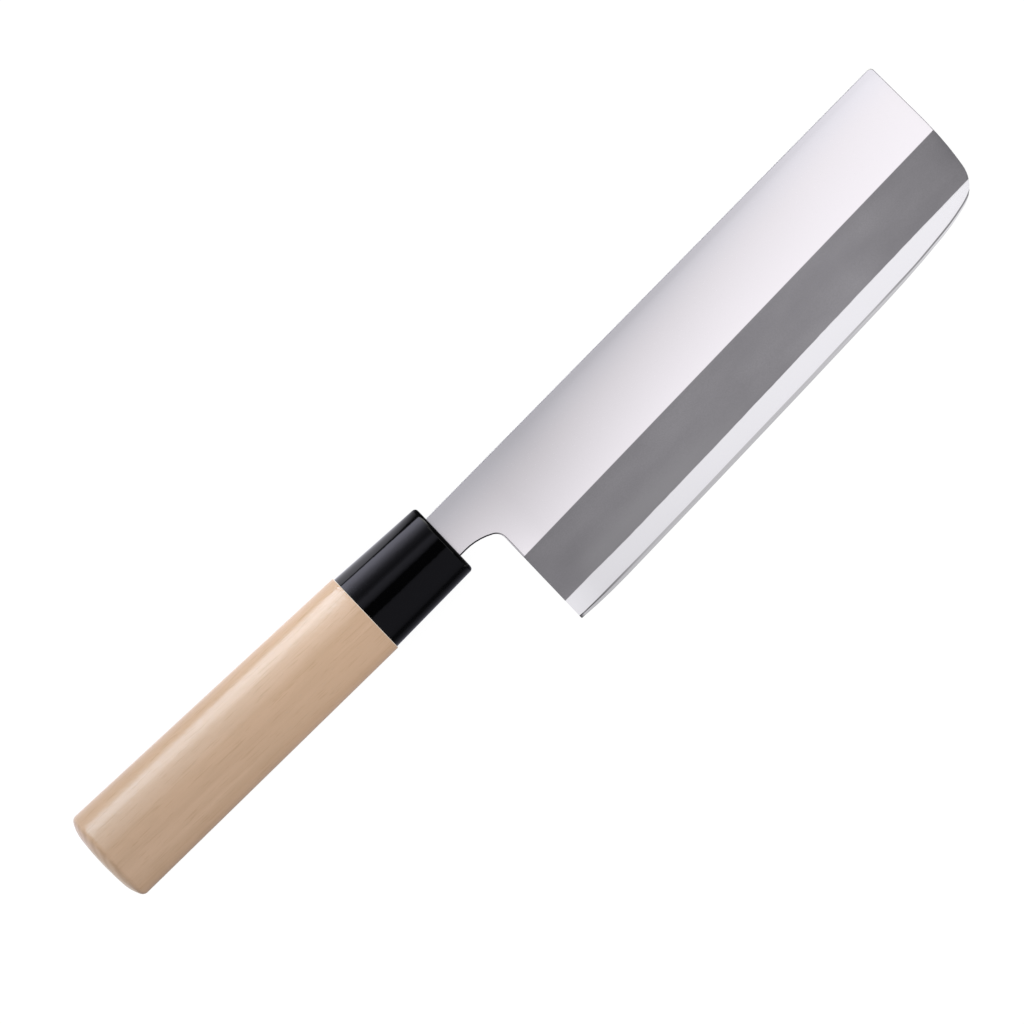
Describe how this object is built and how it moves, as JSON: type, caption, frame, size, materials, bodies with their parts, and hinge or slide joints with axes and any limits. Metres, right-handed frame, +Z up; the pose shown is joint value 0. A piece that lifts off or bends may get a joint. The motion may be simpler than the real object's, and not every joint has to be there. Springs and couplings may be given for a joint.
{
  "type": "nakiri knife",
  "caption": "Nakiri vegetable knife with a laminated double-bevel blade, a hidden tang, a black cap and an oval wooden grip.",
  "frame": {"origin": "middle of the bounding box in X and Y, at its lowest point, which is the grip's left side by the butt", "axes": "+X along the spine from the grip towards the blade's front end, +Y from the cutting edge towards the spine, +Z up out of the right face, with the knife on its left side"},
  "size_m": [0.3068, 0.0622, 0.0218],
  "materials": {
    "core_steel": "polished stainless steel with a fine grind across the edge band",
    "cladding_steel": "satin-polished stainless flat above a matte, cloudy bevel",
    "black_plastic": "glossy moulded black plastic",
    "pale_wood": "fine-grained pale wood, lightly sealed to a soft sheen",
    "epoxy": "cured amber glue"
  },
  "bodies": {
    "root": {"core_steel": "core_steel", "cladding_right": "cladding_steel", "cladding_left": "cladding_steel", "ferrule": "black_plastic", "handle_body": "pale_wood", "tang_adhesive": "epoxy"}
  },
  "joints": []
}
